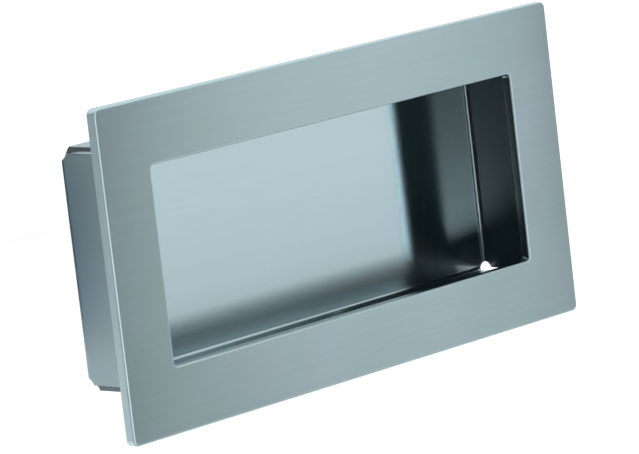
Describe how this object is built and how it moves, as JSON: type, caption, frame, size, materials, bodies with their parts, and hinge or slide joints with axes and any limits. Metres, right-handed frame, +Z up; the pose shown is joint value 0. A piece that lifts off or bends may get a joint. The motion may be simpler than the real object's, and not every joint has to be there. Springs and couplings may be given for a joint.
{
  "type": "recessed pull handle",
  "caption": "Rectangular flush pull handle: flat cover plate with a window, over a folded sheet tray that gives a finger recess.",
  "frame": {"origin": "centre of the window and of the door cut-out, in the plane of the plate's rear face, where the plate seats on the door", "axes": "-Y out of the front of the plate towards the user, +Y into the door, +X along the plate's length, +Z up along its height"},
  "size_m": [0.15, 0.022, 0.075],
  "materials": {
    "plate_steel": "stainless steel, brushed lengthwise to a satin finish",
    "tray_steel": "stainless steel sheet, brushed lengthwise before folding",
    "weld_steel": "as welded, rippled, lightly heat tinted"
  },
  "bodies": {
    "root": {"cover_plate": "plate_steel", "folded_tray": "tray_steel", "stitch_welds": "weld_steel"}
  },
  "joints": []
}
